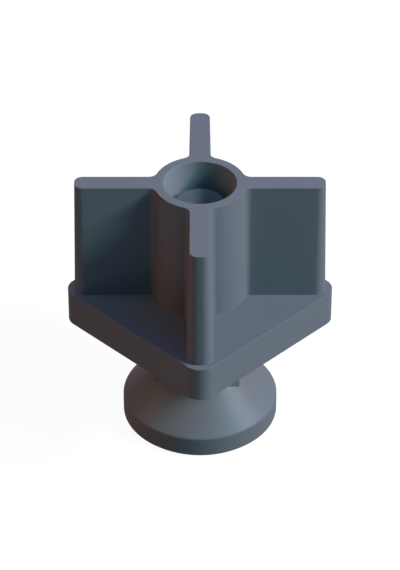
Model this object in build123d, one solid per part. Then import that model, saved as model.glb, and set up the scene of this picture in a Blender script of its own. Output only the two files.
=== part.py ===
from build123d import *
import math
import os

os.makedirs("parts", exist_ok=True)

# Adjustable cabinet leg: a finned insert for a square tube, with a screw-in foot.
# Millimetres, +Z up. The origin is on the floor, under the middle of the foot.

# Square tube that the leg is pushed into
TUBE_SIDE = 40.0
TUBE_WALL = 1.5

# Flange that closes the tube's end, flush with its outside
FLANGE_THICKNESS = 7.6
FLANGE_CORNER_RADIUS = 3.45

# Plug: a round boss with four fins on the diagonals, drafted to leave the mould upwards
PLUG_HEIGHT = 26.0
PLUG_DRAFT = 1.2
BOSS_WALL = 2.45
FIN_THICKNESS = 5.15
FIN_END_RADIUS = 2.2
FIN_ROOT_RADIUS = 1.25
FIN_PRESS = 0.4

# Steel bush moulded into the foot of the boss, under a bore of the same width
BUSH_DIAMETER = 14.5
BUSH_LENGTH = 13.5
BUSH_GROOVE_WIDTH = 3.0
BUSH_GROOVE_DEPTH = 0.8
BUSH_PLAY = 0.05

# Metric coarse thread of the bush and the screw
THREAD_DIAMETER = 10.0
THREAD_PITCH = 1.5
THREAD_DEPTH_IN_PITCHES = 0.61
THREAD_ALLOWANCE = 0.1
THREAD_PLAY = 0.05

# Hexagon-head screw, threaded to its head
SCREW_LENGTH = 45.0
HEAD_ACROSS_FLATS = 17.0
HEAD_HEIGHT = 6.4
HEAD_BEVEL = 30.0
HEAD_FACE_SHARE = 0.95
POINT_RISE = 0.8

# Moulded foot: a rim, a cone and a hexagonal collar that the foot is turned by
FOOT_DIAMETER = 32.0
RIM_HEIGHT = 4.9
RIM_TOP_RADIUS = 0.8
RIM_BOTTOM_CHAMFER = 0.8
COLLAR_ACROSS_FLATS = 17.6
COLLAR_BASE = 10.7
COLLAR_HEIGHT = 6.3
COLLAR_DRAFT = 1.0
COLLAR_EDGE_RADIUS = 0.5
COLLAR_TURN = 7.9
HEAD_RECESS = 2.5
POCKET_CHAMFER = 0.5
SHANK_PLAY = 0.2

# Thread that shows between the collar and the flange, as the leg stands
THREAD_SHOWING = 7.2

# Heights above the floor
collar_top = COLLAR_BASE + COLLAR_HEIGHT
flange_bottom = collar_top + THREAD_SHOWING
flange_top = flange_bottom + FLANGE_THICKNESS
plug_top = flange_top + PLUG_HEIGHT
bush_top = flange_bottom + BUSH_LENGTH
head_top = HEAD_RECESS + HEAD_HEIGHT

# Radii shared by the pieces that fit each other
bush_radius = BUSH_DIAMETER / 2
boss_radius = bush_radius + BOSS_WALL
screw_radius = (THREAD_DIAMETER - 2 * THREAD_ALLOWANCE) / 2
thread_bore_radius = screw_radius + THREAD_PLAY
thread_depth = THREAD_PITCH * THREAD_DEPTH_IN_PITCHES
collar_corner_radius = COLLAR_ACROSS_FLATS / math.sqrt(3)
head_corner_radius = HEAD_ACROSS_FLATS / math.sqrt(3)


def turned(*points):
    """Solid of revolution about Z from the corners of its half section, given as (radius, height)."""
    with BuildPart() as solid:
        with BuildSketch(Plane.XZ):
            with BuildLine():
                Polyline(*points, close=True)
            make_face()
        revolve(axis=Axis.Z)
    return solid.part


def hexagon(corner_radius, turn):
    """Flat hexagon with its first corner turned from +X."""
    return RegularPolygon(radius=corner_radius, side_count=6, rotation=turn)


def fin_reach():
    """Distance from the axis to a fin's end, so that its two rounded corners press on the tube's walls."""
    tube_half_inside = TUBE_SIDE / 2 - TUBE_WALL
    corner_offset = FIN_THICKNESS / 2 - FIN_END_RADIUS
    corner_centre = (tube_half_inside + FIN_PRESS - FIN_END_RADIUS) * math.sqrt(2) - corner_offset
    return corner_centre + FIN_END_RADIUS


def plug_outline():
    """Plan of the plug where it stands on the flange: a disc and four fins with rounded ends and roots."""
    reach = fin_reach()
    with BuildSketch() as plan:
        Circle(boss_radius)
        Rectangle(2 * reach, FIN_THICKNESS, rotation=45)
        Rectangle(2 * reach, FIN_THICKNESS, rotation=-45)
        corners = plan.vertices()
        ends = [v for v in corners if math.hypot(v.X, v.Y) > (reach + boss_radius) / 2]
        roots = [v for v in corners if math.hypot(v.X, v.Y) <= (reach + boss_radius) / 2]
        fillet(ends, FIN_END_RADIUS)
        fillet(roots, FIN_ROOT_RADIUS)
    return plan.sketch


def bush_envelope(play, top):
    """Outer form of the bush, grown by a play and carried up to a height: two lands and a locking groove."""
    radius = bush_radius + play
    groove_radius = radius - BUSH_GROOVE_DEPTH
    middle = (flange_bottom + bush_top) / 2
    groove_half = BUSH_GROOVE_WIDTH / 2 - play
    return turned(
        (0, flange_bottom),
        (radius, flange_bottom),
        (radius, middle - groove_half),
        (groove_radius, middle - groove_half),
        (groove_radius, middle + groove_half),
        (radius, middle + groove_half),
        (radius, top),
        (0, top),
    )


def make_tube_insert():
    """One moulding: square flange, boss and four fins, moulded round the bush, with a bore above it."""
    with BuildPart() as insert:
        with BuildSketch(Plane.XY.offset(flange_bottom)):
            RectangleRounded(TUBE_SIDE, TUBE_SIDE, FLANGE_CORNER_RADIUS)
        extrude(amount=FLANGE_THICKNESS)
        with BuildSketch(Plane.XY.offset(flange_top)):
            add(plug_outline())
        extrude(amount=PLUG_HEIGHT, taper=PLUG_DRAFT)
    return insert.part - bush_envelope(BUSH_PLAY, plug_top)


def make_threaded_bush():
    """Turned steel bush with a chamfered thread bore; its lower face is flush with the flange."""
    chamfered_bore = turned(
        (0, flange_bottom),
        (thread_bore_radius + thread_depth, flange_bottom),
        (thread_bore_radius, flange_bottom + thread_depth),
        (thread_bore_radius, bush_top - thread_depth),
        (thread_bore_radius + thread_depth, bush_top),
        (0, bush_top),
    )
    return bush_envelope(0, bush_top) - chamfered_bore


def make_levelling_screw():
    """Hexagon-head screw, head down; its free end is bevelled to the thread's root and slightly domed."""
    face_radius = HEAD_ACROSS_FLATS * HEAD_FACE_SHARE / 2
    bevel_outside = head_corner_radius + HEAD_HEIGHT
    bevel_height = HEAD_RECESS + (bevel_outside - face_radius) * math.tan(math.radians(HEAD_BEVEL))
    bevel = turned(
        (0, HEAD_RECESS),
        (face_radius, HEAD_RECESS),
        (bevel_outside, bevel_height),
        (bevel_outside, bevel_height + HEAD_HEIGHT),
        (0, bevel_height + HEAD_HEIGHT),
    )
    with BuildPart() as head:
        with BuildSketch(Plane.XY.offset(HEAD_RECESS)):
            hexagon(head_corner_radius, COLLAR_TURN)
        extrude(amount=HEAD_HEIGHT)
    screw_end = head_top + SCREW_LENGTH
    point_radius = screw_radius - thread_depth
    dome_bottom = screw_end - POINT_RISE
    with BuildPart() as shank:
        with BuildSketch(Plane.XZ):
            with BuildLine():
                TangentArc((0, screw_end), (point_radius, dome_bottom), tangent=(1, 0))
                Polyline(
                    (point_radius, dome_bottom),
                    (screw_radius, dome_bottom - thread_depth),
                    (screw_radius, head_top - thread_depth),
                    (0, head_top - thread_depth),
                    (0, screw_end),
                )
            make_face()
        revolve(axis=Axis.Z)
    return (head.part & bevel) + shank.part


def make_foot():
    """One moulding: round base with a cone that a hexagonal collar dies into, and a pocket for the screw's head."""
    rim_radius = FOOT_DIAMETER / 2
    cone_slope = (COLLAR_BASE - RIM_HEIGHT) / (rim_radius - collar_corner_radius)
    hidden_radius = COLLAR_ACROSS_FLATS / 2 - COLLAR_EDGE_RADIUS
    hidden_height = COLLAR_BASE + (collar_corner_radius - hidden_radius) * cone_slope
    with BuildPart() as foot:
        with BuildSketch(Plane.XZ) as section:
            with BuildLine():
                Polyline(
                    (0, 0),
                    (rim_radius, 0),
                    (rim_radius, RIM_HEIGHT),
                    (hidden_radius, hidden_height),
                    (0, hidden_height),
                    close=True,
                )
            make_face()
            top_corner = section.vertices().group_by(Axis.X)[-1].sort_by(Axis.Y)[-1]
            fillet(top_corner, RIM_TOP_RADIUS)
            bottom_corner = section.vertices().group_by(Axis.X)[-1].sort_by(Axis.Y)[0]
            chamfer(bottom_corner, RIM_BOTTOM_CHAMFER)
        revolve(axis=Axis.Z)
        with BuildSketch(Plane.XY.offset(RIM_HEIGHT)):
            base_growth = (COLLAR_BASE - RIM_HEIGHT) * math.tan(math.radians(COLLAR_DRAFT))
            hexagon(collar_corner_radius + base_growth * 2 / math.sqrt(3), COLLAR_TURN)
        extrude(amount=collar_top - RIM_HEIGHT, taper=COLLAR_DRAFT)
        fillet(foot.faces().sort_by(Axis.Z)[-1].edges(), COLLAR_EDGE_RADIUS)
        with BuildSketch(Plane.XY):
            hexagon(head_corner_radius, COLLAR_TURN)
        extrude(amount=head_top, mode=Mode.SUBTRACT)
        mouth = foot.edges().filter_by_position(Axis.Z, 0, 0).filter_by(GeomType.LINE)
        chamfer(mouth, POCKET_CHAMFER)
        with BuildSketch(Plane.XY.offset(head_top)):
            Circle(screw_radius + SHANK_PLAY)
        extrude(amount=collar_top - head_top, mode=Mode.SUBTRACT)
    return foot.part


export_step(make_tube_insert(), "parts/tube_insert.step")
export_step(make_threaded_bush(), "parts/threaded_bush.step")
export_step(make_levelling_screw(), "parts/levelling_screw.step")
export_step(make_foot(), "parts/foot.step")
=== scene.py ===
import bmesh
import bpy
import math
import numpy as np
from bpy.props import FloatProperty, FloatVectorProperty, IntProperty, PointerProperty
from bpy.types import Operator, Panel, PropertyGroup
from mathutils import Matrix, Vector


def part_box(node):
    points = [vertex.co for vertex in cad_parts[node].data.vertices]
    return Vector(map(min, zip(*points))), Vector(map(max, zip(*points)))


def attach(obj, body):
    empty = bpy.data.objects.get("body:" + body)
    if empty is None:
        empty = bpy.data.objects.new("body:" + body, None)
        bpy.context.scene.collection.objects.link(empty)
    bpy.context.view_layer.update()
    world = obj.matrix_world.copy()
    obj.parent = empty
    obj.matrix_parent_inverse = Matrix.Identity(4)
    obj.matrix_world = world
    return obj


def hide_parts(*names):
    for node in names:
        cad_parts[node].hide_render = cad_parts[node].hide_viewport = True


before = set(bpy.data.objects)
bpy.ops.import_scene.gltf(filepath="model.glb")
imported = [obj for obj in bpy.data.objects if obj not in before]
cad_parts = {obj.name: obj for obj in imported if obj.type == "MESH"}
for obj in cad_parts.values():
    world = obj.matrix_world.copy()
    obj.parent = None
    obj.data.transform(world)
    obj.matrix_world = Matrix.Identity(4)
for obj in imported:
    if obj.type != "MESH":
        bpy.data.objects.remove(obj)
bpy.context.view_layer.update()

bl_info = {
    "name": "Adjustable cabinet leg",
    "version": (1, 0, 0),
    "blender": (4, 5, 0),
    "location": "3D Viewport > Sidebar > Cabinet Leg",
    "description": "Builds a finned tube insert with a screw-in levelling foot, its finishes and its stage",
    "category": "Mesh",
}

MM = 0.001

# Directions in a section, whose axes are the offset inward and the height
INWARD = 0.0
UP = math.radians(90)
UP_AND_OUT = math.radians(135)
OUTWARD = math.radians(180)
DOWN = math.radians(-90)

# Steps along the arc of an edge that only catches light, and along a round that shows as a form
EDGE_STEPS = 3
ROUND_STEPS = 5
# Distance from an arc to one more point on each side, which keeps the flat faces there flat to the eye
FLAT_MARGIN = 0.05 * MM

# Points nearer than the first are merged, edges shorter than the second are taken out, and a turn that is
# sharper than the third shades as an edge
MERGE_DISTANCE = 0.0005 * MM
DEAD_EDGE = 0.0001 * MM
SHARP_ANGLE = math.radians(38)

# The fins lie on the diagonals
DIAGONAL = math.radians(45)
# Points along an eighth of the plug's outline: on the boss, the fin's root, the fin's side and its end
BOSS_POINTS = 11
ROOT_POINTS = 8
SIDE_POINTS = 8
END_POINTS = 13
# Points on half of the flange's corner, which lie beside the last ones of the fin's end
FLANGE_CORNER_POINTS = 10

# The angle that one side of a hexagon takes up round the centre
SECTOR = math.radians(60)
# Steps along half a side of a hexagon, and along half a rounded corner
FLAT_STEPS = 9
CORNER_STEPS = 4
# Repeats after which the line where the cone meets the collar no longer moves
MEETING_REPEATS = 6

# Metric thread: depth of the groove in pitches, slope of a flank, and half the crest's width in pitches
THREAD_DEPTH = 0.61
FLANK_ANGLE = math.radians(30)
CREST_HALF = 1 / 16
# Points on one side of a ridge, in pitches from its middle: crest, cut corner, flank, cut corner and root
RIDGE_SIDE = (0.045, 0.085, 0.24, 0.385, 0.45)
# Pitches over which the groove runs out above the head, and those over which it closes under the free end
HEAD_RUN_OUT = 1.0
END_RUN_OUT = 0.25
# Turns more than the heights need, and turns that start lower still under the head, so that the grid's
# first row lies on the circle on the head's top and its last row on the axis
SPARE_TURNS = 3
TURNS_UNDER_HEAD = 1.5
# How far outside the thread the circle lies on the head's top where the thread's faces meet the head's
HEAD_CIRCLE_MARGIN = 1.5 * MM
# Points from the middle of the head's end face to its bevel
FACE_POINTS = 5

# Widths of the finishes' patterns as drawn, and heights of their relief
FLOW_CLOUD = 14 * MM
MOULD_GRAIN = 0.25 * MM
CRYSTAL_CLOUD = 1.2 * MM
TOOL_RING = 0.8 * MM
GRAIN_HEIGHT = 0.01 * MM
RING_HEIGHT = 0.005 * MM
# Most values of a noise texture lie between these two
NOISE_LOW = 0.3
NOISE_HIGH = 0.7
# Angle by which a wave texture's phase grows over a length of 1
WAVE_PHASE = 20.0

# The photograph's camera. Its distance, elevation and focal length were fitted to the object's edges.
CAMERA_BEARING = math.radians(45)
CAMERA_ELEVATION = 0.645
CAMERA_DISTANCE = 564.98 * MM
CAMERA_TARGET = Vector((0, 0, 32.43 * MM))
SENSOR_WIDTH = 36.0
PHOTO_WIDTH = 400
FOCAL_PIXELS = 2780.24

# Bearing and elevation in degrees, width and height in metres, brightness, and colour. A bearing is counted
# from the camera's side of the object and grows to the right. A brightness of 1 lights a surface that faces
# the lamp so that its colour shows as written.
LAMPS = {
    "key": (83, 36, 0.20, 0.20, 0.901, "#FFDDE3"),
    "cool key": (65.5, 36, 0.35, 0.20, 0.602, "#D3FFED"),
    "left": (-90, 35, 0.55, 0.55, 0.217, "#FFDBA9"),
    "left low": (-90, 8, 0.55, 0.55, 0.166, "#FF2B00"),
    "top": (45, 62, 0.55, 0.55, 0.180, "#00B3FF"),
    "back high": (-135, 62, 0.55, 0.55, 0.081, "#003FFF"),
    "front": (0, 35, 0.55, 0.55, 0.037, "#8EFFCA"),
    "rear": (180, 8, 0.55, 0.55, 0.500, "#FFFFFF"),
}
LAMP_DISTANCE = 1.2
# Strength of the white surround as a light on the object. To the camera and in gloss it is 1.
AMBIENT = 0.01

FLOOR_HALF = 3.0
# Share of the lamps' light that the floor gives back, which makes the shadow faint, and its own glow
FLOOR_MATT = 0.10
FLOOR_GLOW = 0.95

insert_low, insert_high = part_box("tube_insert")
bush_low, bush_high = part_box("threaded_bush")
_, screw_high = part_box("levelling_screw")
_, foot_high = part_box("foot")


def linear(hex_colour):
    """Linear red, green, blue and alpha of an sRGB hex colour, by the sRGB transfer curve."""
    srgb = np.array([int(hex_colour[i:i + 2], 16) for i in (1, 3, 5)]) / 255
    curve = np.where(srgb <= 0.04045, srgb / 12.92, ((srgb + 0.055) / 1.055) ** 2.4)
    return (*curve.tolist(), 1.0)


def length(name, description, millimetres):
    """A length that a user may change, in metres, from its default in millimetres."""
    return FloatProperty(
        name=name, description=description, default=millimetres * MM, min=0.0, unit="LENGTH",
    )


def angle(name, description, degrees):
    """An angle that a user may change, in radians, from its default in degrees."""
    return FloatProperty(
        name=name, description=description, default=math.radians(degrees), unit="ROTATION",
    )


def colour(name, description, hex_colour):
    """A colour that a user may change, from its sRGB hex value."""
    return FloatVectorProperty(
        name=name, description=description, subtype="COLOR", size=4, min=0.0, max=1.0,
        default=linear(hex_colour),
    )


class LegInsertSizes(PropertyGroup):
    """Sizes of the moulded insert that the frame's box doesn't give."""

    flange_thickness: length("Flange thickness", "Height of the square flange", 7.6)
    flange_corner: length("Flange corner", "Radius of the flange's upright corners", 3.45)
    tube_wall: length("Tube wall", "Wall of the square tube that the fins press on", 1.5)
    fin_press: length("Fin press", "How far a fin's end presses into the tube's wall", 0.4)
    fin_thickness: length("Fin thickness", "Thickness of a fin at the flange", 5.15)
    fin_end: length("Fin end", "Radius of the two corners of a fin's end", 2.2)
    fin_root: length("Fin root", "Radius in the corner between a fin and the boss", 1.25)
    boss_wall: length("Boss wall", "Wall of the boss at the flange", 2.45)
    bush_play: length("Bush play", "Clearance round the steel bush", 0.05)
    groove_width: length("Groove width", "Width of the bush's locking groove", 3.0)
    groove_depth: length("Groove depth", "Depth of the bush's locking groove", 0.8)
    draft: angle("Draft", "Taper of the plug's walls, for leaving the mould", 1.2)
    edge: length("Edge round", "Round on the edges that the mould leaves crisp", 0.07)
    root: length("Root round", "Round where the plug stands on the flange", 0.05)


class LegScrewSizes(PropertyGroup):
    """Sizes of the hexagon-head screw and its thread."""

    pitch: length("Pitch", "Pitch of the metric coarse thread", 1.5)
    allowance: length("Allowance", "How far the thread's crest lies under the nominal radius", 0.1)
    diameter: length("Diameter", "Nominal diameter of the thread", 10.0)
    head_flats: length("Head width", "Width of the head across its flats", 17.0)
    head_height: length("Head height", "Height of the head", 6.4)
    head_edge: length("Head edge", "Round on the head's upright edges", 0.25)
    end_radius: length("End radius", "Radius of the shallow hollow that rolling leaves in the end", 18.0)
    end_drop: length("End drop", "How far the free end's rim lies under the frame's screw", 1.0)
    bevel: angle("Head bevel", "Slope of the turned bevel on the head's end", 30.0)
    face_share: FloatProperty(
        name="Face share", description="Diameter of the head's end face, as a share of the head's width",
        default=0.95, min=0.5, max=1.0,
    )
    columns: IntProperty(
        name="Columns", description="Points in one turn of the thread", default=72, min=24,
    )


class LegFootSizes(PropertyGroup):
    """Sizes of the moulded foot that the frame's box doesn't give."""

    rim_height: length("Rim height", "Height of the upright rim", 4.9)
    rim_top: length("Rim top", "Round between the rim and the cone", 0.8)
    rim_bottom: length("Rim bottom", "Chamfer on the edge that stands on the floor", 0.8)
    collar_flats: length("Collar width", "Width of the collar across its flats, at its base", 17.6)
    collar_base: length("Collar base", "Height where the cone meets the collar's corners", 10.7)
    collar_corner: length("Collar corner", "Round on the collar's upright corners", 0.3)
    collar_top_edge: length("Collar top edge", "Round on the collar's upper edge", 0.5)
    collar_draft: angle("Collar draft", "Taper of the collar's sides", 1.0)
    collar_turn: angle("Collar turn", "Turn of the collar's first corner from the X axis", 7.9)
    collar_foot: length("Collar foot", "Round where the collar meets the cone", 0.3)
    head_recess: length("Head recess", "How far the screw's head lies above the floor", 2.5)
    pocket_chamfer: length("Pocket chamfer", "Chamfer on the mouth of the head's pocket", 0.5)
    hole_radius: length("Hole radius", "Radius of the hole for the screw's shank", 5.1)
    edge: length("Edge round", "Round on the edges that the mould leaves crisp", 0.15)


class LegColours(PropertyGroup):
    """Colours of the finishes and of the stage."""

    nylon: colour("Nylon", "Colour of the moulded plastic", "#6B737F")
    nylon_flow: colour("Nylon flow", "Colour of the plastic where it flowed more slowly", "#676F7B")
    # Painted light: the bore's paler colour stands for light reflected inside the bore
    nylon_bore_painted_light: colour("Nylon polished", "Colour of the bore, moulded on a polished pin", "#7A8390")
    phosphate: colour("Phosphate", "Colour of the phosphated steel screw", "#525E65")
    phosphate_worn: colour("Phosphate worn", "Colour of the screw where the phosphate is thin", "#667278")
    zinc: colour("Zinc", "Colour of the zinc-plated bush", "#C2C6CB")
    floor: colour("Floor", "Colour that the floor shows", "#FFFFFF")


def sizes_of(part):
    """The sizes of one part, or the colours, as the sidebar holds them."""
    return getattr(bpy.context.scene, "leg_" + part)


def bend(offset, height, arrive, leave, radius, steps):
    """Section points round a rounded corner, as pairs of offset inward and height.

    The corner's two sides run in the directions arrive and leave. The arc is tangent to both: it starts
    radius * tan(turn / 2) before the corner, its centre lies a radius to the side that the path turns to,
    and each point of it lies a radius from the centre, square to the direction there. One more point lies
    beyond it on each side.
    """
    turn = math.remainder(leave - arrive, math.tau)
    before = np.array([math.cos(arrive), math.sin(arrive)])
    after = np.array([math.cos(leave), math.sin(leave)])
    reach = radius * math.tan(abs(turn) / 2)
    signed = math.copysign(radius, turn)
    corner = np.stack(np.broadcast_arrays(offset, height), axis=-1)
    centre = corner - reach * before + signed * np.array([-before[1], before[0]])
    sweep = arrive + turn * np.linspace(0, 1, steps + 1)
    arc = [centre + signed * np.array([math.sin(way), -math.cos(way)]) for way in sweep]
    path = [corner - (reach + FLAT_MARGIN) * before, *arc, corner + (reach + FLAT_MARGIN) * after]
    return [point.T for point in path]


def ring_quads(rows, columns, first, loop):
    """Quads between neighbours of a grid, whose points are numbered row by row from the first one's number.

    Each row is closed on itself, and with loop the last row is joined to the first. Rows that climb the
    outside while columns run anticlockwise from above give faces that point outwards.
    """
    index = first + np.arange(rows * columns).reshape(rows, columns)
    across = np.roll(index, -1, axis=1)
    quads = np.stack([index, across, np.roll(across, -1, axis=0), np.roll(index, -1, axis=0)], axis=-1)
    return (quads if loop else quads[:-1]).reshape(-1, 4)


def grid_mesh(name, points):
    """Mesh of a grid of points, rows by columns by 3, that is closed both ways."""
    rows, columns = points.shape[:2]
    return mesh_of(name, points.reshape(-1, 3), ring_quads(rows, columns, 0, loop=True))


def mesh_of(name, vertices, faces):
    """Mesh with smooth shading, from whole arrays of vertices and quads, without doubles and dead faces."""
    mesh = bpy.data.meshes.new(name)
    mesh.from_pydata(vertices.tolist(), [], faces.tolist())
    work = bmesh.new()
    work.from_mesh(mesh)
    bmesh.ops.remove_doubles(work, verts=work.verts, dist=MERGE_DISTANCE)
    bmesh.ops.dissolve_degenerate(work, edges=work.edges, dist=DEAD_EDGE)
    work.to_mesh(mesh)
    work.free()
    mesh.shade_smooth()
    mesh.set_sharp_from_angle(angle=SHARP_ANGLE)
    mesh.update()
    return mesh


def add_piece(mesh, body, node, material):
    """Puts a mesh in the scene as a piece that rides on a body and stands for a node of the frame."""
    piece = bpy.data.objects.new(mesh.name, mesh)
    bpy.context.scene.collection.objects.link(piece)
    mesh.materials.append(material)
    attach(piece, body)
    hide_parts(node)


def quarter_turns(octant):
    """Closed outline of a shape with four diagonals, from the part of it between 0 and 45 degrees."""
    mirrored = octant[::-1, ::-1][1:]
    quarter = np.concatenate([octant, mirrored])[:-1]
    turns = [quarter]
    for _ in range(3):
        last = turns[-1]
        turns.append(np.stack([-last[:, 1], last[:, 0]], axis=-1))
    return np.concatenate(turns)


def plug_octant(sizes, offset):
    """The plug's outline from the middle of a side to the middle of a fin's end, moved in by an offset.

    It is drawn with the fin along the first axis: an arc of the boss about the centre, a concave arc at the
    root, the fin's straight side, a convex arc and half of the flat end. The offset shrinks the boss and
    the end's arc, and widens the root's. A reflection then lays the fin on the diagonal.
    """
    bore = bush_high.x + sizes.bush_play
    boss = bush_high.x + sizes.boss_wall - offset
    half = sizes.fin_thickness / 2 - offset
    end = sizes.fin_end - offset
    root = sizes.fin_root + offset
    inside = insert_high.x - sizes.tube_wall + sizes.fin_press - sizes.fin_end
    end_centre = inside * math.sqrt(2) - (sizes.fin_thickness / 2 - sizes.fin_end)
    reach = end_centre + sizes.fin_end - offset
    if boss <= bore or half <= 0:
        raise RuntimeError("The draft leaves no wall at the plug's top")
    root_side = half + root
    root_along = math.sqrt((boss + root) ** 2 - root_side ** 2)
    root_angle = math.atan2(root_side, root_along)
    around = np.linspace(DIAGONAL, root_angle, BOSS_POINTS)
    arc = boss * np.stack([np.cos(around), np.sin(around)], axis=-1)
    hollow = np.linspace(math.pi + root_angle, 1.5 * math.pi, ROOT_POINTS)[1:]
    fillet = [root_along, root_side] + root * np.stack([np.cos(hollow), np.sin(hollow)], axis=-1)
    along = np.linspace(root_along, reach - end, SIDE_POINTS)[1:]
    side = np.stack([along, np.full_like(along, half)], axis=-1)
    bulge = np.linspace(math.pi / 2, 0, END_POINTS)[1:]
    tip = [reach - end, half - end] + end * np.stack([np.cos(bulge), np.sin(bulge)], axis=-1)
    middle = np.array([[reach, 0.0]])
    fin = np.concatenate([arc, fillet, side, tip, middle])
    x = fin[:, 0] * math.cos(DIAGONAL) + fin[:, 1] * math.sin(DIAGONAL)
    y = fin[:, 0] * math.sin(DIAGONAL) - fin[:, 1] * math.cos(DIAGONAL)
    return np.stack([x, y], axis=-1)


def flange_octant(sizes, offset, plug):
    """The flange's outline from the middle of a side to its corner, moved in by an offset.

    A straight side whose points lie beside the plug's, stretched to the side's length, then half of the
    corner's arc beside the fin's rounded end.
    """
    half = insert_high.x - offset
    radius = sizes.flange_corner - offset
    beside = plug[:-FLANGE_CORNER_POINTS, 1]
    side_y = beside * (half - radius) / beside[-1]
    around = np.linspace(0, DIAGONAL, FLANGE_CORNER_POINTS + 1)[1:]
    arc = half - radius + radius * np.stack([np.cos(around), np.sin(around)], axis=-1)
    return np.concatenate([np.stack([np.full_like(side_y, half), side_y], axis=-1), arc])


def insert_rows(sizes):
    """Rows of points of the insert: its outlines, stacked along a closed section.

    The section climbs the flange's side, runs in over its top, climbs the drafted plug, runs in over its
    top and goes down the bore and the bush's seat, whose ring fills the bush's groove. Each station of the
    section is an outline, how far it is moved inwards, and its height.
    """
    bottom, top = insert_low.z, insert_high.z
    flange_top = bottom + sizes.flange_thickness
    lean = UP - sizes.draft
    rise = top - flange_top
    seat = -(bush_high.x + sizes.bush_play)
    ring = seat + sizes.groove_depth
    middle = (bush_low.z + bush_high.z) / 2
    ring_half = sizes.groove_width / 2 - sizes.bush_play
    edge = sizes.edge
    section = [
        ("flange", bend(0, bottom, OUTWARD, UP, edge, EDGE_STEPS)),
        ("flange", bend(0, flange_top, UP, INWARD, edge, EDGE_STEPS)),
        ("plug", bend(0, flange_top, INWARD, lean, sizes.root, EDGE_STEPS)),
        ("plug", bend(rise * math.tan(sizes.draft), top, lean, INWARD, edge, EDGE_STEPS)),
        ("circle", bend(seat, top, INWARD, DOWN, edge, EDGE_STEPS)),
        ("circle", [(seat, middle + ring_half), (ring, middle + ring_half)]),
        ("circle", [(ring, middle - ring_half), (seat, middle - ring_half)]),
        ("circle", [(seat, bottom)]),
    ]
    plug = plug_octant(sizes, 0)
    bearings = np.arctan2(plug[:, 1], plug[:, 0])
    rows = []
    for outline, stations in section:
        for offset, height in stations:
            if outline == "flange":
                octant = flange_octant(sizes, offset, plug)
            elif outline == "plug":
                octant = plug_octant(sizes, offset)
            else:
                octant = -offset * np.stack([np.cos(bearings), np.sin(bearings)], axis=-1)
            flat = quarter_turns(octant)
            rows.append(np.column_stack([flat, np.full(len(flat), height)]))
    return np.array(rows)


def hexagon_radius(apothem, corner, bearing):
    """Distance from the centre to a rounded hexagon's outline, at each bearing.

    On a flat it is the apothem over the cosine of the bearing from the flat's middle. On a corner it is
    where the ray leaves the corner's circle, whose centre lies on the corner's own bearing.
    """
    from_flat = np.abs((bearing + SECTOR / 2) % SECTOR - SECTOR / 2)
    centre = (apothem - corner) / math.cos(SECTOR / 2)
    flat_ends = np.arctan2((apothem - corner) * math.tan(SECTOR / 2), apothem)
    from_corner = SECTOR / 2 - from_flat
    inside_root = np.maximum(corner ** 2 - (centre * np.sin(from_corner)) ** 2, 0)
    on_arc = centre * np.cos(from_corner) + np.sqrt(inside_root)
    return np.where(from_flat <= flat_ends, apothem / np.cos(from_flat), on_arc)


def hexagon_bearings(apothem, corner):
    """Bearings round a hexagon, from the middle of a flat, in closer steps on the rounded corners."""
    flat_ends = math.atan2((apothem - corner) * math.tan(SECTOR / 2), apothem)
    half = np.concatenate([
        np.linspace(0, flat_ends, FLAT_STEPS + 1)[:-1],
        np.linspace(flat_ends, SECTOR / 2, CORNER_STEPS + 1),
    ])
    whole = np.concatenate([half, SECTOR - half[::-1][1:]])[:-1]
    return np.concatenate([whole + side * SECTOR for side in range(6)])


def turned_rows(section, bearings):
    """Rows of points from stations of offset and height, each a number or one for each bearing.

    An offset counts inwards from the axis, so a point's radius is its negative.
    """
    rows = []
    for offset, height in section:
        radius = -np.broadcast_to(offset, bearings.shape)
        level = np.broadcast_to(height, bearings.shape)
        rows.append(np.stack([radius * np.cos(bearings), radius * np.sin(bearings), level], axis=-1))
    return np.array(rows)


def foot_rows(sizes, screw):
    """Rows of points of the foot: one closed section at each bearing.

    It runs out over the underside, up the rim, up the cone to the collar, up the drafted collar, in over
    its top, down the shank's hole, out over the pocket's roof and down the pocket. The cone meets the
    collar where the cone's radius equals the hexagon's at that bearing and height, found by a few repeats.
    """
    rim = foot_high.x
    top = foot_high.z
    apothem = sizes.collar_flats / 2
    corner = sizes.collar_corner
    corner_radius = sizes.collar_flats / math.sqrt(3)
    slope = (sizes.collar_base - sizes.rim_height) / (rim - corner_radius)
    climb = math.atan(slope)
    lean = UP - sizes.collar_draft
    bearings = hexagon_bearings(apothem, corner)
    height = np.full(bearings.shape, sizes.collar_base)
    for _ in range(MEETING_REPEATS):
        level_apothem = apothem - (height - sizes.collar_base) * math.tan(sizes.collar_draft)
        radius = hexagon_radius(level_apothem, corner, bearings)
        height = sizes.collar_base + (corner_radius - radius) * slope
    top_apothem = apothem - (top - sizes.collar_base) * math.tan(sizes.collar_draft)
    collar_top = -hexagon_radius(top_apothem, corner, bearings)
    pocket = -hexagon_radius(screw.head_flats / 2, screw.head_edge, bearings)
    roof = sizes.head_recess + screw.head_height
    chamfer = sizes.pocket_chamfer
    hole = -sizes.hole_radius
    edge = sizes.edge
    section = [
        *bend(sizes.rim_bottom - rim, 0, OUTWARD, UP_AND_OUT, edge, EDGE_STEPS),
        *bend(-rim, sizes.rim_bottom, UP_AND_OUT, UP, edge, EDGE_STEPS),
        *bend(-rim, sizes.rim_height, UP, climb, sizes.rim_top, ROUND_STEPS),
        *bend(-radius, height, climb, lean, sizes.collar_foot, EDGE_STEPS),
        *bend(collar_top, top, lean, INWARD, sizes.collar_top_edge, ROUND_STEPS),
        *bend(hole, top, INWARD, DOWN, edge, EDGE_STEPS),
        (hole, roof),
        (pocket, roof),
        (pocket, chamfer),
        (pocket - chamfer, 0),
    ]
    return turned_rows(section, bearings + sizes.collar_turn - SECTOR / 2)


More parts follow.
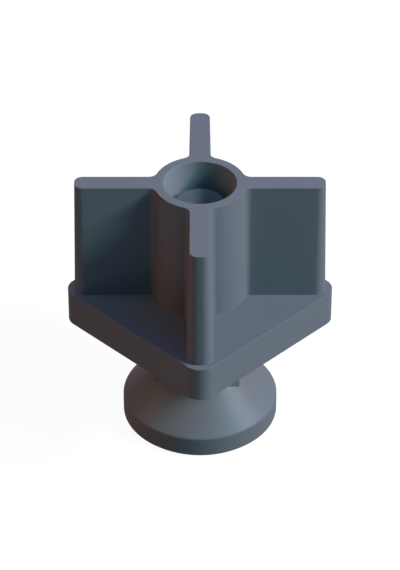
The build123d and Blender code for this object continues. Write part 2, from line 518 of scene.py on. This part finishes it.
def thread_grid(sizes, start, end, wide):
    """Points and quads of the screw's thread, carried along its helix.

    Across one pitch the profile has a flat crest, two flanks at 30 degrees and a flat root, each corner
    cut. A point's height is its place on the profile plus a pitch for each turn, so the last point of one
    turn is the first of the next. The thread grows from its root over the first pitch above the head, and
    its groove closes just under the free end's rim. The highest point under the rim is lifted onto it, and
    past it a point slides down the end's shallow hollow, a part of a sphere, to the axis. Below the head's
    top a point slides out along it, to a circle that the head's rows end at.
    """
    pitch = sizes.pitch
    crest = sizes.diameter / 2 - sizes.allowance
    depth = THREAD_DEPTH * pitch
    root = crest - depth
    flank = THREAD_DEPTH * math.tan(FLANK_ANGLE)
    profile = np.array([*[-place for place in reversed(RIDGE_SIDE)], *RIDGE_SIDE])
    share = np.clip((CREST_HALF + flank - np.abs(profile)) / flank, 0, 1)
    per_pitch = len(profile)
    turns = math.ceil((end - start + crest + wide) / pitch) + SPARE_TURNS
    columns = sizes.columns
    turn_number, place = np.meshgrid(np.arange(turns), profile, indexing="ij")
    first = start - (math.ceil((wide - root) / pitch) + TURNS_UNDER_HEAD) * pitch
    level = (first + (turn_number + place) * pitch).reshape(-1, 1)
    bearing = 2 * math.pi * np.arange(columns) / columns
    height = level + pitch * bearing / (2 * math.pi)
    ridge = depth * np.tile(share, turns).reshape(-1, 1)
    radius = root + ridge * np.clip((height - start) / (HEAD_RUN_OUT * pitch), 0, 1)
    rim = end - sizes.end_drop
    closing = np.clip(1 - (rim - height) / (END_RUN_OUT * pitch), 0, 1)
    radius = radius + (crest - radius) * closing
    highest_under = (height <= rim).sum(axis=0) - 1
    every_column = np.arange(columns)
    height[highest_under, every_column] = rim
    radius[highest_under, every_column] = crest
    past = height > rim
    radius = np.where(past, crest - np.clip(height - rim, 0, crest), radius)
    hollow = np.sqrt(sizes.end_radius ** 2 - radius ** 2) - math.sqrt(sizes.end_radius ** 2 - crest ** 2)
    height = np.where(past, rim - hollow, height)
    below = start - height
    radius = np.where(below > 0, np.minimum(root + below, wide), radius)
    height = np.where(below > 0, start, height)
    points = np.stack([radius * np.cos(bearing), radius * np.sin(bearing), height], axis=-1)
    rows = turns * per_pitch
    index = np.arange(rows * columns).reshape(rows, columns)
    joined = np.concatenate([index[:-per_pitch], index[per_pitch:, :1]], axis=1)
    quads = np.stack([joined[:-1, :-1], joined[:-1, 1:], joined[1:, 1:], joined[1:, :-1]], axis=-1)
    return points.reshape(-1, 3), quads.reshape(-1, 4)


def head_rows(sizes, top, wide, turn):
    """Rows of points of the screw's head, from its end face out, up and in to the circle round the thread.

    The end face's bevel is a cone, so the upright sides start where the cone's height at that bearing is:
    the radius past the face's, times the tangent of the bevel.
    """
    bottom = top - sizes.head_height
    bearings = 2 * math.pi * np.arange(sizes.columns) / sizes.columns
    outline = hexagon_radius(sizes.head_flats / 2, sizes.head_edge, bearings - turn + SECTOR / 2)
    face = sizes.head_flats / 2 * sizes.face_share
    bevel_height = bottom + np.maximum(outline - face, 0) * math.tan(sizes.bevel)
    section = [(-radius, bottom) for radius in np.linspace(0.0, face, FACE_POINTS)]
    section += [(-outline, bevel_height), (-outline, top), (-wide, top)]
    return turned_rows(section, bearings)


def add_node(tree, kind, inputs=None, **settings):
    """Adds a shader node, sets its properties, and sets or links its inputs."""
    node = tree.nodes.new(kind)
    for name, value in settings.items():
        setattr(node, name, value)
    for name, value in (inputs or {}).items():
        if isinstance(value, bpy.types.NodeSocket):
            tree.links.new(value, node.inputs[name])
        else:
            node.inputs[name].default_value = value
    return node


def new_material(name):
    """An empty node material, and its tree."""
    material = bpy.data.materials.new(name)
    material.use_nodes = True
    material.node_tree.nodes.clear()
    return material, material.node_tree


def satin_nylon(painted_light_radius):
    """Glass-filled nylon, moulded in a spark-eroded mould, and painted paler inside a radius as painted
    light in the bore.

    The eye sees an even blue-grey satin, a fine grain, and slightly darker clouds where the melt flowed
    more slowly. The grain shades itself at a glancing angle, so the gloss doesn't grow towards an outline
    as a polished plastic's does: a small metallic share gives such a gloss, and the dielectric one is off.
    The grain is 0.03 mm in the mould, and is drawn 0.25 mm wide, so that it shows. Inside the radius the
    colour is painted paler, as painted light reflected in the bore.
    """
    material, tree = new_material("glass filled nylon, spark eroded satin")
    colours = sizes_of("colours")
    place = add_node(tree, "ShaderNodeTexCoord").outputs["Object"]
    flow = add_node(tree, "ShaderNodeTexNoise", {"Vector": place, "Scale": 1 / FLOW_CLOUD, "Detail": 2.0})
    tint = add_node(
        tree, "ShaderNodeMix",
        {"Factor": flow.outputs["Fac"], "A": tuple(colours.nylon), "B": tuple(colours.nylon_flow)},
        data_type="RGBA",
    )
    across = add_node(tree, "ShaderNodeVectorMath", {0: place, 1: (1.0, 1.0, 0.0)}, operation="MULTIPLY")
    radius = add_node(tree, "ShaderNodeVectorMath", {0: across.outputs["Vector"]}, operation="LENGTH")
    # Painted light: inside this radius the colour is painted paler, for the light reflected in the bore
    polished = add_node(
        tree, "ShaderNodeMath", {0: radius.outputs["Value"], 1: painted_light_radius}, operation="LESS_THAN",
    )
    skin = add_node(
        tree, "ShaderNodeMix",
        {"Factor": polished.outputs["Value"], "A": tint.outputs[2], "B": tuple(colours.nylon_bore_painted_light)},
        data_type="RGBA",
    )
    grain = add_node(tree, "ShaderNodeTexNoise", {"Vector": place, "Scale": 1 / MOULD_GRAIN, "Detail": 3.0})
    rough = add_node(
        tree, "ShaderNodeMapRange",
        {
            "Value": grain.outputs["Fac"], "From Min": NOISE_LOW, "From Max": NOISE_HIGH,
            "To Min": 0.40, "To Max": 0.48,
        },
    )
    bump = add_node(
        tree, "ShaderNodeBump",
        {"Height": grain.outputs["Fac"], "Strength": 0.12, "Distance": GRAIN_HEIGHT},
    )
    shader = add_node(
        tree, "ShaderNodeBsdfPrincipled",
        {
            "Base Color": skin.outputs[2], "Roughness": rough.outputs["Result"], "IOR": 1.53,
            "Specular IOR Level": 0.0, "Metallic": 0.07, "Normal": bump.outputs["Normal"],
        },
    )
    add_node(tree, "ShaderNodeOutputMaterial", {"Surface": shader.outputs["BSDF"]})
    return material


def phosphated_steel():
    """Cold-headed steel with a rolled thread, zinc phosphated.

    The eye sees a matt grey coat of fine crystals that lets a little of the metal's gloss through, with
    paler spots where it is thin. The crystals are 0.02 mm wide, and are drawn as clouds of 1.2 mm, so that
    they show.
    """
    material, tree = new_material("steel, zinc phosphated")
    colours = sizes_of("colours")
    place = add_node(tree, "ShaderNodeTexCoord").outputs["Object"]
    cloud = add_node(
        tree, "ShaderNodeTexNoise", {"Vector": place, "Scale": 1 / CRYSTAL_CLOUD, "Detail": 4.0},
    )
    worn = add_node(
        tree, "ShaderNodeMapRange",
        {"Value": cloud.outputs["Fac"], "From Min": 0.5, "From Max": 0.75, "To Min": 0.0, "To Max": 0.35},
    )
    tint = add_node(
        tree, "ShaderNodeMix",
        {
            "Factor": worn.outputs["Result"],
            "A": tuple(colours.phosphate), "B": tuple(colours.phosphate_worn),
        },
        data_type="RGBA",
    )
    rough = add_node(
        tree, "ShaderNodeMapRange",
        {
            "Value": cloud.outputs["Fac"], "From Min": NOISE_LOW, "From Max": NOISE_HIGH,
            "To Min": 0.6, "To Max": 0.5,
        },
    )
    bump = add_node(
        tree, "ShaderNodeBump",
        {"Height": cloud.outputs["Fac"], "Strength": 0.1, "Distance": GRAIN_HEIGHT},
    )
    shader = add_node(
        tree, "ShaderNodeBsdfPrincipled",
        {
            "Base Color": tint.outputs[2], "Metallic": 0.2, "Roughness": rough.outputs["Result"],
            "Specular IOR Level": 0.0, "Normal": bump.outputs["Normal"],
        },
    )
    add_node(tree, "ShaderNodeOutputMaterial", {"Surface": shader.outputs["BSDF"]})
    return material


def zinc_plated_steel():
    """Free-cutting steel, turned on a lathe and zinc plated.

    The eye sees a bright bluish metal with rings left by the tool. The feed is 0.1 mm a turn, and the rings
    are drawn 0.8 mm apart, so that they show.
    """
    material, tree = new_material("turned steel, zinc plated")
    colours = sizes_of("colours")
    place = add_node(tree, "ShaderNodeTexCoord").outputs["Object"]
    rings = add_node(
        tree, "ShaderNodeTexWave",
        {"Vector": place, "Scale": math.tau / WAVE_PHASE / TOOL_RING, "Distortion": 0.4, "Detail": 2.0},
        wave_type="RINGS", rings_direction="Z",
    )
    rough = add_node(
        tree, "ShaderNodeMapRange",
        {"Value": rings.outputs["Fac"], "To Min": 0.28, "To Max": 0.40},
    )
    bump = add_node(
        tree, "ShaderNodeBump",
        {"Height": rings.outputs["Fac"], "Strength": 0.15, "Distance": RING_HEIGHT},
    )
    shader = add_node(
        tree, "ShaderNodeBsdfPrincipled",
        {
            "Base Color": tuple(colours.zinc), "Metallic": 1.0, "Roughness": rough.outputs["Result"],
            "Normal": bump.outputs["Normal"],
        },
    )
    add_node(tree, "ShaderNodeOutputMaterial", {"Surface": shader.outputs["BSDF"]})
    return material


class LEG_OT_insert(Operator):
    """Builds the moulded insert: flange, boss and four fins in one piece"""

    bl_idname = "leg.insert"
    bl_label = "Tube Insert"

    def execute(self, context):
        sizes = sizes_of("insert")
        mesh = grid_mesh("insert_moulding", insert_rows(sizes))
        # The painted light in the bore ends in the middle of the rounded edge at the bore's mouth
        painted_light_radius = bush_high.x + sizes.bush_play + sizes.edge / 2
        add_piece(mesh, "insert", "tube_insert", satin_nylon(painted_light_radius))
        return {"FINISHED"}


class LEG_OT_bush(Operator):
    """Gives the turned steel bush its finish"""

    bl_idname = "leg.bush"
    bl_label = "Threaded Bush"

    def execute(self, context):
        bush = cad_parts["threaded_bush"]
        bush.data.materials.clear()
        bush.data.materials.append(zinc_plated_steel())
        return {"FINISHED"}


class LEG_OT_screw(Operator):
    """Builds the levelling screw, with its rolled thread and hexagon head"""

    bl_idname = "leg.screw"
    bl_label = "Levelling Screw"

    def execute(self, context):
        sizes = sizes_of("screw")
        foot = sizes_of("foot")
        top = foot.head_recess + sizes.head_height
        wide = sizes.diameter / 2 + HEAD_CIRCLE_MARGIN
        points, quads = thread_grid(sizes, top, screw_high.z, wide)
        head = head_rows(sizes, top, wide, foot.collar_turn)
        head_quads = ring_quads(*head.shape[:2], len(points), loop=False)
        mesh = mesh_of(
            "screw_with_thread",
            np.concatenate([points, head.reshape(-1, 3)]),
            np.concatenate([quads, head_quads]),
        )
        add_piece(mesh, "screw_and_foot", "levelling_screw", phosphated_steel())
        return {"FINISHED"}


class LEG_OT_foot(Operator):
    """Builds the moulded foot: rim, cone, hexagonal collar and the pocket for the screw's head"""

    bl_idname = "leg.foot"
    bl_label = "Foot"

    def execute(self, context):
        mesh = grid_mesh("foot_moulding", foot_rows(sizes_of("foot"), sizes_of("screw")))
        add_piece(mesh, "screw_and_foot", "foot", satin_nylon(0.0))
        return {"FINISHED"}


def direction(bearing, elevation):
    """Unit vector towards a bearing, counted from the front and growing to the right, at an elevation."""
    return Vector((
        math.sin(bearing) * math.cos(elevation),
        -math.cos(bearing) * math.cos(elevation),
        math.sin(elevation),
    ))


def aim(thing, place, target):
    """Puts a lamp or a camera at a place, looking at the target and upright."""
    thing.location = place
    thing.rotation_euler = (target - place).to_track_quat("-Z", "Y").to_euler()


def add_camera():
    """The photograph's camera."""
    data = bpy.data.cameras.new("camera")
    data.sensor_fit = "HORIZONTAL"
    data.sensor_width = SENSOR_WIDTH
    data.lens = FOCAL_PIXELS / PHOTO_WIDTH * SENSOR_WIDTH
    camera = bpy.data.objects.new("camera", data)
    bpy.context.scene.collection.objects.link(camera)
    place = CAMERA_TARGET + CAMERA_DISTANCE * direction(CAMERA_BEARING, CAMERA_ELEVATION)
    aim(camera, place, CAMERA_TARGET)
    bpy.context.scene.camera = camera


def add_lamps():
    """Soft studio lamps, each a rectangle facing the object."""
    for name, (bearing, elevation, width, height, brightness, hex_colour) in LAMPS.items():
        data = bpy.data.lights.new(name, "AREA")
        data.shape = "RECTANGLE"
        data.size = width
        data.size_y = height
        data.energy = brightness * math.pi ** 2 * LAMP_DISTANCE ** 2
        data.color = linear(hex_colour)[:3]
        lamp = bpy.data.objects.new(name, data)
        bpy.context.scene.collection.objects.link(lamp)
        way = direction(CAMERA_BEARING + math.radians(bearing), math.radians(elevation))
        aim(lamp, CAMERA_TARGET + LAMP_DISTANCE * way, CAMERA_TARGET)


def shown_directly(tree):
    """1 for what the camera sees, also in gloss or through glass, and 0 for light on the object."""
    path = add_node(tree, "ShaderNodeLightPath")
    seen_or_mirrored = add_node(
        tree, "ShaderNodeMath", {0: path.outputs["Is Camera Ray"], 1: path.outputs["Is Glossy Ray"]},
        operation="MAXIMUM",
    )
    return add_node(
        tree, "ShaderNodeMath", {0: seen_or_mirrored.outputs[0], 1: path.outputs["Is Transmission Ray"]},
        operation="MAXIMUM",
    ).outputs[0]


def add_world():
    """A white surround for the camera and for reflections, and a low even light on the object."""
    world = bpy.data.worlds.new("surround")
    world.use_nodes = True
    tree = world.node_tree
    tree.nodes.clear()
    strength = add_node(
        tree, "ShaderNodeMapRange", {"Value": shown_directly(tree), "To Min": AMBIENT, "To Max": 1.0},
    )
    light = add_node(
        tree, "ShaderNodeBackground", {"Color": linear("#FFFFFF"), "Strength": strength.outputs["Result"]},
    )
    add_node(tree, "ShaderNodeOutputWorld", {"Surface": light.outputs["Background"]})
    bpy.context.scene.world = world


def floor_paint():
    """Matt white studio floor: white to the camera and in reflections, with the object's faint shadow."""
    material, tree = new_material("matt white floor")
    colours = sizes_of("colours")
    grey = (FLOOR_MATT, FLOOR_MATT, FLOOR_MATT, 1.0)
    matt = add_node(tree, "ShaderNodeBsdfDiffuse", {"Color": grey, "Roughness": 1.0})
    glow = add_node(tree, "ShaderNodeEmission", {"Color": tuple(colours.floor), "Strength": FLOOR_GLOW})
    white = add_node(tree, "ShaderNodeAddShader", {0: matt.outputs[0], 1: glow.outputs[0]})
    mixed = add_node(
        tree, "ShaderNodeMixShader", {"Fac": shown_directly(tree), 1: matt.outputs[0], 2: white.outputs[0]},
    )
    add_node(tree, "ShaderNodeOutputMaterial", {"Surface": mixed.outputs[0]})
    return material


class LEG_OT_stage(Operator):
    """Builds the floor, the lamps, the surround and the camera"""

    bl_idname = "leg.stage"
    bl_label = "Stage"

    def execute(self, context):
        corners = np.array([(-1, -1, 0), (1, -1, 0), (1, 1, 0), (-1, 1, 0)]) * FLOOR_HALF
        mesh = bpy.data.meshes.new("floor")
        mesh.from_pydata(corners.tolist(), [], [(0, 1, 2, 3)])
        mesh.materials.append(floor_paint())
        floor = bpy.data.objects.new("floor", mesh)
        context.scene.collection.objects.link(floor)
        # The foot stands on the floor at any height of the leg, so the floor follows it
        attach(floor, "screw_and_foot")
        add_camera()
        add_lamps()
        add_world()
        context.scene.view_settings.view_transform = "Standard"
        return {"FINISHED"}


class LEG_PT_panel(Panel):
    """Sidebar panel with the leg's pieces, sizes and colours"""

    bl_idname = "LEG_PT_panel"
    bl_label = "Cabinet Leg"
    bl_space_type = "VIEW_3D"
    bl_region_type = "UI"
    bl_category = "Cabinet Leg"

    def draw(self, context):
        layout = self.layout
        for operator in OPERATORS:
            layout.operator(operator.bl_idname)
        for group in GROUPS:
            box = layout.box()
            box.label(text=group.__doc__)
            for name in group.__annotations__:
                box.prop(sizes_of(GROUPS[group]), name)


GROUPS = {
    LegInsertSizes: "insert",
    LegScrewSizes: "screw",
    LegFootSizes: "foot",
    LegColours: "colours",
}
OPERATORS = (LEG_OT_insert, LEG_OT_bush, LEG_OT_screw, LEG_OT_foot, LEG_OT_stage)
CLASSES = (*GROUPS, *OPERATORS, LEG_PT_panel)


def register():
    """Registers the classes and hangs the sizes and colours on the scene."""
    for cls in CLASSES:
        bpy.utils.register_class(cls)
    for group, name in GROUPS.items():
        setattr(bpy.types.Scene, "leg_" + name, PointerProperty(type=group))


def unregister():
    """Takes the sizes and colours off the scene and unregisters the classes."""
    for name in GROUPS.values():
        delattr(bpy.types.Scene, "leg_" + name)
    for cls in reversed(CLASSES):
        bpy.utils.unregister_class(cls)


def main():
    """Builds every piece and the stage."""
    register()
    bpy.ops.leg.insert()
    bpy.ops.leg.bush()
    bpy.ops.leg.screw()
    bpy.ops.leg.foot()
    bpy.ops.leg.stage()


if __name__ == "__main__":
    main()
